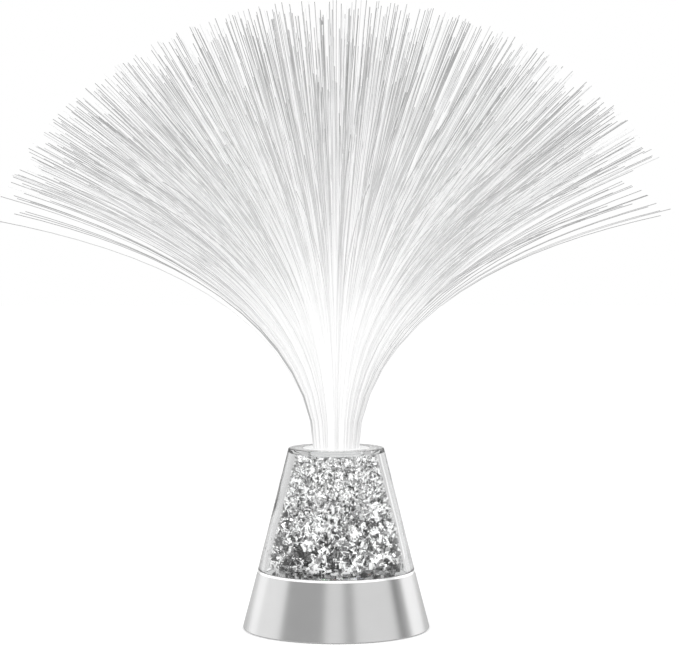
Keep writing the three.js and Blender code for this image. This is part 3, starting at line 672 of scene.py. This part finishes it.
def fibre_tree(material):
    """One quarter of the spray. A fibre leaves the potting upright and turns outwards, quickly at first.

    A few fibres at the bundle's edge hang lower than the dense spray above them, most of them at the right.
    """
    sizes = {
        "Quarter": 0, "Fibres": FIBRES_PER_QUARTER, "Rings": FIBRE_RINGS, "Exit": 0.0,
        "Bundle radius": BUNDLE_RADIUS, "Length": FIBRE_LENGTH, "Bend length": BEND_LENGTH,
        "Outer lean": OUTER_LEAN, "Radius": FIBRE_RADIUS, "Glow length": GLOW_LENGTH,
    }
    tree, size = geometry_tree("fibre quarter", sizes)
    rings = size["Rings"]
    index = tree.node("GeometryNodeInputIndex")
    fibre = ((index + 0.5) / rings).floor()
    ring = index - fibre * rings
    which = fibre + 1000 * size["Quarter"]

    spread = (fibre * GOLDEN_SHARE + 0.02 * tree.chance(which, 2)).fraction()
    turn = (size["Quarter"] + spread) * (math.pi / 2)
    heading = turn + STRAY_HEADING * (tree.chance(which, 3) - 0.5)
    right = heading.cosine().ramp(0.7, 0.97)

    def sided(value):
        """A value of the left side with what the right side adds to it."""
        return value[0] + value[1] * right

    hangs = tree.even(which, 1, 0.7) < sided(HANGING_SHARE)
    area = (fibre + tree.chance(which, 1)) / size["Fibres"]
    outwards = (1 - (1 - area) ** EDGE_DENSITY).root() * (1 - hangs) + HANGING_START * hangs
    loose = STRAY_LEAN * (tree.chance(which, 4) - 0.5)
    dense = sided(DENSE_LEAN) - sided(DENSE_SPREAD) * tree.chance(which, 10)
    hanging = sided(HANGING_LEAN) + sided(HANGING_SPREAD) * tree.even(which, 2, 0.98) - dense
    lean = size["Outer lean"] * (outwards * (dense + hangs * hanging) + loose * (1 - outwards))
    cut = 1 - OUTER_TRIM * area - EDGE_TRIM * area ** 3 - UNEVEN_TRIM * tree.chance(which, 6) ** 3
    cut = cut + RIGHT_GROWTH * right * outwards
    cut = cut + hangs * (HANGING_CUT - HANGING_TRIM * tree.even(which, 3, 0) - cut)
    step = size["Length"] * cut / (rings - 1)

    along = ring * step
    sway = SWAY * (tree.chance(which, 12) - 0.5) * along / size["Length"]
    tilt = lean * (1 - ((0.5 * step - along) / size["Bend length"]).exponent())
    drawn = step * (ring > 0.5)
    outward = tilt.sine() * drawn
    course = heading + sway
    stride = tree.vector(course.cosine() * outward, course.sine() * outward, tilt.cosine() * drawn)
    inputs = {"Value": stride, "Group ID": fibre}
    path = tree.node("GeometryNodeAccumulateField", inputs, data_type="FLOAT_VECTOR")
    start = outwards * size["Bundle radius"]
    root = tree.vector(start * turn.cosine(), start * turn.sine(), size["Exit"])
    place = tree.node("ShaderNodeVectorMath", {0: root, 1: path.out("Leading")}, operation="ADD")

    points = tree.node("GeometryNodePoints", {"Count": size["Fibres"] * rings, "Radius": 1.0})
    points = stored(tree, points, "tone", tree.chance(which, 7) * (1 - hangs))
    # Each point's share of the painted glow
    points = stored(tree, points, "painted_glow_share", fibre_painted_glow(tree, size, which, along, outwards, heading))
    points = tree.node("GeometryNodeSetPosition", {"Geometry": points, "Position": place})
    inputs = {"Points": points, "Curve Group ID": fibre, "Weight": ring}
    lines = tree.node("GeometryNodePointsToCurves", inputs)
    inputs = {"Resolution": FIBRE_SIDES, "Radius": size["Radius"]}
    section = tree.node("GeometryNodeCurvePrimitiveCircle", inputs)
    inputs = {"Curve": lines, "Profile Curve": section, "Fill Caps": True}
    tubes = tree.node("GeometryNodeCurveToMesh", inputs)
    smooth = tree.node("GeometryNodeSetShadeSmooth", {"Geometry": tubes})
    return finished_tree(tree, smooth, material), sizes


def fibre_painted_glow(tree, size, which, along, outwards, heading):
    """The painted glow of a fibre: most in the bundle, then less, and none at its tip.

    Some of the outermost fibres at the left and right stay dull, which draws thin lines of painted shade in
    the spray.
    """
    glow = size["Glow length"] * (0.85 + 0.3 * tree.chance(which, 8))
    bundle = along.ramp(glow * (0.75 - 0.25 * outwards), glow * (1.3 - 0.25 * outwards), 1, 0)
    body = along.ramp(TIP_START * size["Length"], size["Length"], 1 - BUNDLE_PAINTED_GLOW, 0)
    painted_glow_share = (BUNDLE_PAINTED_GLOW * bundle + body) * along.ramp(0, ROOT_LENGTH, 0.9, 1)
    # Painted shade: some outermost fibres heading left and right lose most of their painted glow
    dull = (tree.chance(which, 11) < DULL_SHARE) * outwards ** 8 * heading.cosine() ** 2
    return painted_glow_share * (1 - DULL_LOSS * dull * along.ramp(0, DULL_START))


def shred_tree(material):
    """Loose bent shreds between the tube and the dome: fine at the top, larger towards the deck.

    Those on the deck stand upright along the wall, and the others lie any way round.
    """
    sizes = {
        "Shreds": SHRED_COUNT, "Floor": 0.0, "Ceiling": 0.0, "Floor radius": 0.0, "Ceiling radius": 0.0,
        "Core radius": 0.0, "Largest": SHRED_LARGEST, "Smallest": SHRED_SMALLEST,
    }
    tree, size = geometry_tree("foil shreds", sizes)
    which = tree.node("GeometryNodeInputIndex")
    level = tree.chance(which, 1) ** 0.8
    scale = size["Smallest"] + (size["Largest"] - size["Smallest"]) * (1 - level) ** 2
    scale = scale * (0.55 + 0.6 * tree.chance(which, 2))
    room = SHRED_ROOM * scale
    height = size["Floor"] + room + (size["Ceiling"] - size["Floor"] - 2 * room) * level
    wall = size["Floor radius"] + (size["Ceiling radius"] - size["Floor radius"]) * level - 1.1 * room
    depth = (wall - size["Core radius"]) * tree.chance(which, 3) ** 2
    radius = wall - depth
    turn = 2 * math.pi * tree.chance(which, 4)
    place = tree.vector(turn.cosine() * radius, turn.sine() * radius, height)

    points = tree.node("GeometryNodePoints", {"Count": size["Shreds"], "Position": place, "Radius": 1.0})
    inputs = {"Size X": 1.0, "Size Y": 1.0, "Vertices X": 3, "Vertices Y": 2}
    sheet = tree.node("GeometryNodeMeshGrid", inputs)
    across = tree.node("ShaderNodeSeparateXYZ", {"Vector": tree.node("GeometryNodeInputPosition")})
    bent = tree.vector(0, 0, across * across * SHRED_BEND)
    sheet = tree.node("GeometryNodeSetPosition", {"Geometry": sheet, "Offset": bent})
    loose = level.ramp(0.04, 0.14, 0.25, 2 * math.pi)
    tilt = tree.vector(
        math.pi / 2 + loose * (tree.chance(which, 5) - 0.5),
        loose * (tree.chance(which, 6) - 0.5),
        turn + math.pi / 2 + loose * (tree.chance(which, 7) - 0.5),
    )
    reach = tree.vector(
        scale * (0.7 + 0.5 * tree.chance(which, 8)),
        scale * (0.2 + 0.5 * tree.chance(which, 9)),
        scale,
    )
    inputs = {"Points": points, "Instance": sheet, "Rotation": tilt, "Scale": reach}
    shreds = tree.node("GeometryNodeInstanceOnPoints", inputs)
    shreds = stored(tree, shreds, "tone", tree.chance(which, 10), domain="INSTANCE")
    return finished_tree(tree, shreds, material), sizes


def dome_radius(height):
    """Outer radius of the dome's cone at a height."""
    share = (height - seam) / (dome_high.z - seam)
    return SEAM_RADIUS + (DOME_TOP_RADIUS - SEAM_RADIUS) * share


def add_housing(material):
    """The silver cone: its bevelled lip at the seam, and the shelf inside the lip."""
    shelf = housing_high.z - LIP_HEIGHT
    inner = SEAM_RADIUS - HOUSING_WALL
    bore = dome_radius(housing_high.z) - LIP_THICKNESS
    foot = housing_low.z - SKIRT_DROP
    piece = turned("silver_housing", [
        (SKIRT_RADIUS - HOUSING_WALL, foot, 0.3 * MM),
        (SKIRT_RADIUS, foot, SKIRT_ROUND),
        (SEAM_RADIUS, seam, SMALL_ROUND),
        (SEAM_RADIUS - LIP_BEVEL_WIDTH, housing_high.z, 0.1 * MM),
        (bore, housing_high.z, 0),
        (bore, shelf, 0),
        (inner - SHELF_WIDTH, shelf, 0),
        (inner - SHELF_WIDTH, shelf - SHELF_THICKNESS, 0),
        (inner, shelf - SHELF_THICKNESS, 0.6 * MM),
    ], material, steps=256, ease_steps=6)
    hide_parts("base_housing")
    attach(piece, "base")


def add_dome(material):
    """The clear cone. Its foot stands inside the lip, and its top has a seat for the ferrule."""
    ceiling = dome_high.z - DOME_TOP_THICKNESS
    seat = ferrule_high.x + FIT
    seat_floor = tube_high.z
    hole = tube_high.x + FIT
    spigot = dome_radius(housing_high.z) - LIP_THICKNESS - FIT
    shoulder = housing_high.z + SEAM_GAP
    piece = turned("clear_dome", [
        (dome_radius(dome_low.z) - DOME_WALL, dome_low.z, SMALL_ROUND),
        (spigot, dome_low.z, SMALL_ROUND),
        (spigot, shoulder, 0),
        (dome_radius(shoulder), shoulder, SMALL_ROUND),
        (DOME_TOP_RADIUS, dome_high.z, DOME_ROUND),
        (seat, dome_high.z, SMALL_ROUND),
        (seat, seat_floor, 0),
        (hole, seat_floor, 0),
        (hole, ceiling, 0),
        (dome_radius(ceiling) - DOME_WALL, ceiling, 0.5 * MM),
    ], material, steps=224, ease_steps=5)
    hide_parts("crystal_dome")
    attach(piece, "base")


def add_tube(material):
    """The clear tube that keeps the shreds off the ferrule."""
    bore = tube_high.x - TUBE_WALL
    piece = turned("core_sleeve", [
        (bore, tube_low.z, 0),
        (tube_high.x, tube_low.z, SMALL_ROUND),
        (tube_high.x, tube_high.z, SMALL_ROUND),
        (bore, tube_high.z, SMALL_ROUND),
    ], material, steps=96)
    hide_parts("core_tube")
    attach(piece, "base")


def add_deck(material):
    """The mirror deck under the shreds, with a collar round the tube."""
    top = deck_low.z + DECK_THICKNESS
    bore = tube_high.x - TUBE_WALL
    collar = tube_high.x + FIT
    piece = turned("mirror_deck", [
        (bore, deck_low.z, 0),
        (deck_high.x, deck_low.z, 0),
        (dome_radius(top) - DOME_WALL - FIT, top, SMALL_ROUND),
        (collar + COLLAR_THICKNESS, top, 0.4 * MM),
        (collar + COLLAR_THICKNESS, deck_high.z, SMALL_ROUND),
        (collar, deck_high.z, SMALL_ROUND),
        (collar, top, 0),
        (bore, top, 0),
    ], material, steps=160)
    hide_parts("reflector_deck")
    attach(piece, "base")


def add_ferrule(material):
    """The white ferrule with its flange, and the key that fits the dome's notch."""
    tube = tube_high.x - TUBE_WALL - FIT
    flange = tube + FERRULE_FLANGE
    bore = tube - FERRULE_WALL
    under = ferrule_high.z - FLANGE_HEIGHT
    piece = turned("bundle_collar", [
        (bore, ferrule_low.z, 0),
        (tube, ferrule_low.z, SMALL_ROUND),
        (tube, under, SMALL_ROUND),
        (flange, under, SMALL_ROUND),
        (flange, ferrule_high.z, 0.35 * MM),
        (bore, ferrule_high.z, 0.3 * MM),
    ], material, steps=128)
    key = bmesh.new()
    bmesh.ops.create_cube(key, size=1)
    reach = ferrule_high.y - tube
    bmesh.ops.scale(key, vec=(KEY_WIDTH, reach, FLANGE_HEIGHT), verts=key.verts)
    bmesh.ops.translate(key, vec=(0, tube + reach / 2, under + FLANGE_HEIGHT / 2), verts=key.verts)
    bmesh.ops.bevel(key, geom=key.edges, offset=SMALL_ROUND, segments=2, affect="EDGES")
    lug = smoothed("collar_key", key, material)
    for part in (piece, lug):
        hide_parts("bundle_ferrule")
        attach(part, "spray")


def add_feet(material):
    """Four rubber pads."""
    for number in range(1, 5):
        low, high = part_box(f"rubber_foot_{number}")
        middle = ((low.x + high.x) / 2, (low.y + high.y) / 2)
        radius = (high.x - low.x) / 2
        piece = turned(f"foot_pad_{number}", [
            (0, low.z, 0),
            (radius - FOOT_ROUND, low.z, 0.2 * MM),
            (radius, low.z + FOOT_ROUND, 0.3 * MM),
            (radius, high.z, SMALL_ROUND),
            (0, high.z, 0),
        ], material, steps=48, centre=middle)
        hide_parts(f"rubber_foot_{number}")
        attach(piece, "base")


def add_shreds(material):
    """The foil shreds, between the deck and the dome's top."""
    tree, sizes = shred_tree(material)
    ceiling = dome_high.z - DOME_TOP_THICKNESS - FIT
    floor = deck_low.z + DECK_THICKNESS
    sizes.update({
        "Floor": floor,
        "Ceiling": ceiling,
        "Floor radius": dome_radius(floor) - DOME_WALL,
        "Ceiling radius": dome_radius(ceiling) - DOME_WALL,
        "Core radius": tube_high.x + CORE_GAP,
    })
    piece = grown("foil_confetti", tree, sizes, material)
    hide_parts("foil_shreds")
    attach(piece, "base")


def add_spray(material, potting_material):
    """The fibres in quarters, and the potting in the ferrule that holds them."""
    potting_top = ferrule_high.z - FIT
    tree, sizes = fibre_tree(material)
    sizes["Exit"] = potting_top
    for quarter in range(4):
        sizes["Quarter"] = quarter
        piece = grown(f"fibre_fan_{quarter + 1}", tree, sizes, material)
        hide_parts(f"fibre_quarter_{quarter + 1}")
        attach(piece, "spray")
    bore = tube_high.x - TUBE_WALL - FIT - FERRULE_WALL
    potting = turned("bundle_potting", [
        (0, ferrule_low.z, 0),
        (bore - FIT, ferrule_low.z, 0),
        (bore - FIT, potting_top, SMALL_ROUND),
        (0, potting_top, 0),
    ], potting_material, steps=96)
    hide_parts("fibre_quarter_1")
    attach(potting, "spray")


def add_cells():
    """Three dry cells side by side. The middle one points the other way."""
    for number in range(1, 4):
        low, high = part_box(f"battery_{number}")
        radius = (high.x - low.x) / 2
        length = high.y - low.y
        can = length - NUB_HEIGHT
        piece = turned(f"dry_cell_{number}", [
            (0, 0, 0),
            (radius, 0, CELL_SHOULDER),
            (radius, can, CELL_SHOULDER),
            (NUB_RADIUS + NUB_GROOVE, can, 0.1 * MM),
            (NUB_RADIUS + NUB_GROOVE, can - NUB_GROOVE_DEPTH, 0),
            (NUB_RADIUS, can - NUB_GROOVE_DEPTH, 0),
            (NUB_RADIUS, length, 0.3 * MM),
            (0, length, 0),
        ], cell_finish(f"cell jacket {number}"), steps=64)
        forward = high.y > -low.y
        foot = Vector(((low.x + high.x) / 2, low.y if forward else high.y, (low.z + high.z) / 2))
        laid = Matrix.Rotation(math.radians(-90 if forward else 90), 4, "X")
        piece.data.transform(Matrix.Translation(foot) @ laid)
        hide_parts(f"battery_{number}")
        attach(piece, "base")


def add_underside(material):
    """The plate, the door and the knob: CAD pieces with small rounds on their edges."""
    for name, node, slot, body in (
        ("bay_plate", "base_plate", "black_plastic", "base"),
        ("bay_door", "battery_door", "black_plastic", "door"),
        ("slide_knob", "switch_knob", "switch_knob", "knob"),
    ):
        piece = softened(name, node, material)
        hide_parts(node)
        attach(piece, body)


def dress_nodes(finishes):
    """Gives each CAD piece that is still shown its material."""
    for name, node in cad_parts.items():
        for start, material in finishes.items():
            if name.startswith(start):
                for slot in node.material_slots:
                    slot.material = material


def add_floor():
    """A pale floor that keeps the lamp's shadow. Seen directly it turns white further away."""
    form = bmesh.new()
    bmesh.ops.create_grid(form, x_segments=1, y_segments=1, size=FLOOR_SIZE)
    bmesh.ops.translate(form, vec=(0, 0, -FLOOR_DROP), verts=form.verts)
    finish = Finish("pale floor")
    rays = finish.node("ShaderNodeLightPath")
    direct = rays.out("Is Camera Ray")
    mirrored = rays.out("Is Glossy Ray") + rays.out("Is Transmission Ray")
    seen = direct + 0.15 * mirrored
    cloud = finish.noise(60 * MM)
    distance = (finish.along("X") ** 2 + finish.along("Y") ** 2).root()
    far = distance.ramp(FLOOR_NEAR, FLOOR_FAR)
    white = 0.3 + 0.7 * far
    pale = finish.mix(cloud, grey(0.8), grey(0.82))
    pale = finish.mix(far * direct, pale, grey(0))
    material = finish.surface(
        Base_Color=finish.mix(mirrored, pale, grey(0.5)),
        Roughness=0.6 + 0.1 * cloud,
        Specular_IOR_Level=0.2,
        Emission_Color=finish.mix(seen * white, grey(0), grey(1)),
        Emission_Strength=1.0,
    )
    smoothed("floor", form, material)


def add_world():
    """A white studio. Cards of several levels stand round the lamp for metal to mirror and glass to bend."""
    world = bpy.data.worlds.new("studio")
    bpy.context.scene.world = world
    world.use_nodes = True
    tree = Tree(world.node_tree)
    rays = tree.node("ShaderNodeLightPath")
    toward = tree.node("ShaderNodeSeparateXYZ", {"Vector": tree.node("ShaderNodeTexCoord").out("Generated")})
    angle = toward.math("ARCTAN2", toward.out("X"), 0 - toward.out("Y")) * (180 / math.pi)
    room = ROOM_LEVEL
    for azimuth, width, level in STUDIO_CARDS:
        aside = (angle - azimuth).absolute()
        card = aside.ramp(width / 2 - CARD_EDGE, width / 2 + CARD_EDGE, 1, 0)
        room = room + (level - ROOM_LEVEL) * card
    height = toward.out("Z")
    behind = angle.absolute()
    # Metal mirrors the cards, a white room above them, and a pale one low down behind the lamp
    pale = height.ramp(0.45, 0.8) + height.ramp(0.12, 0.2, 0.75, 0) * (behind > 167)
    mirrored = tree.mix(pale, tree.mix(room, grey(0), grey(1)), grey(1))
    # Glass bends a greyer room, with one white streak
    streak = (angle - STREAK_AZIMUTH).absolute().ramp(2, 4.5, 1, 0)
    around = tree.mix(behind.ramp(125, 150), grey(SIDE_LEVEL), grey(BACK_LEVEL))
    around = tree.mix(height.ramp(0.3, 0.6), around, grey(ABOVE_LEVEL))
    through = tree.mix(streak, around, grey(1))
    soft = tree.mix(rays.out("Is Glossy Ray"), grey(SOFT_LEVEL), mirrored)
    soft = tree.mix(rays.out("Is Transmission Ray"), soft, through)
    colour = tree.mix(rays.out("Is Camera Ray"), soft, grey(1))
    background = tree.node("ShaderNodeBackground", {"Color": colour, "Strength": 1.0})
    tree.node("ShaderNodeOutputWorld", {"Surface": background})


def add_panel(name, place, power):
    """A soft panel that faces the lamp's middle."""
    light = bpy.data.lights.new(name, "AREA")
    light.shape = "DISK"
    light.size = PANEL_SIZE
    light.energy = power
    panel = bpy.data.objects.new(name, light)
    bpy.context.collection.objects.link(panel)
    panel.location = place
    panel.visible_glossy = False
    aim = Vector(PANEL_AIM) - Vector(place)
    panel.rotation_euler = aim.to_track_quat("-Z", "Y").to_euler()


def add_camera():
    """The photograph's view."""
    camera = bpy.data.cameras.new("camera")
    camera.lens = CAMERA_LENS
    camera.sensor_width = CAMERA_SENSOR
    camera.clip_start = CAMERA_NEAR
    eye = bpy.data.objects.new("camera", camera)
    bpy.context.collection.objects.link(eye)
    eye.location = (CAMERA_ASIDE, -CAMERA_DISTANCE, CAMERA_HEIGHT)
    eye.rotation_euler = (math.pi / 2 - CAMERA_PITCH, 0, 0)
    bpy.context.scene.camera = eye


silver = silver_finish("satin silver", bevel_painted_highlight=0.35)
mirror = silver_finish("mirror deck", roughness=0.08)
steel = steel_finish("plated steel")
spring = steel_finish("spring wire", level=0.7, roughness=0.22)
black = plastic_finish("black moulding", (0.02, 0.02, 0.022))
switch_black = plastic_finish("switch moulding", (0.03, 0.03, 0.032), roughness=0.35)
# White moulding with a painted glow, for the ferrule and the potting
white = white_painted_glow_finish("lit white moulding")
rubber = rubber_finish("foot rubber")
clear = clear_finish("clear acrylic")
foil = foil_finish("mirror film")
fibre = fibre_finish("frosted fibre")

add_camera()
add_world()
add_floor()
add_panel("key panel", (-0.9, -0.8, 1.3), 9)
add_panel("fill panel", (1.1, -0.6, 0.9), 5)
add_panel("back panel", (0.2, 1.2, 1.1), 4)

add_housing(silver)
add_dome(clear)
add_tube(clear)
add_deck(mirror)
add_ferrule(white)
add_shreds(foil)
add_spray(fibre, white)
add_underside(black)
add_feet(rubber)
add_cells()
dress_nodes({
    "base_screw": steel,
    "board_screw": steel,
    "plate_contact": steel,
    "spring_contact": spring,
    "slide_switch": switch_black,
    "led_board": board_finish("green board"),
    "led_red": lens_finish("red diode", (1, 0.35, 0.3)),
    "led_green": lens_finish("green diode", (0.4, 1, 0.5)),
    "led_blue": lens_finish("blue diode", (0.4, 0.5, 1)),
    "colour_chip": plastic_finish("chip moulding", (0.015, 0.015, 0.015), roughness=0.3),
    "battery_wire_1": plastic_finish("black insulation", (0.02, 0.02, 0.02), roughness=0.35),
    "battery_wire_2": plastic_finish("red insulation", (0.5, 0.03, 0.03), roughness=0.35),
    "switch_wire": plastic_finish("switch insulation", (0.02, 0.02, 0.02), roughness=0.35),
})

bpy.context.scene.view_settings.view_transform = "Standard"
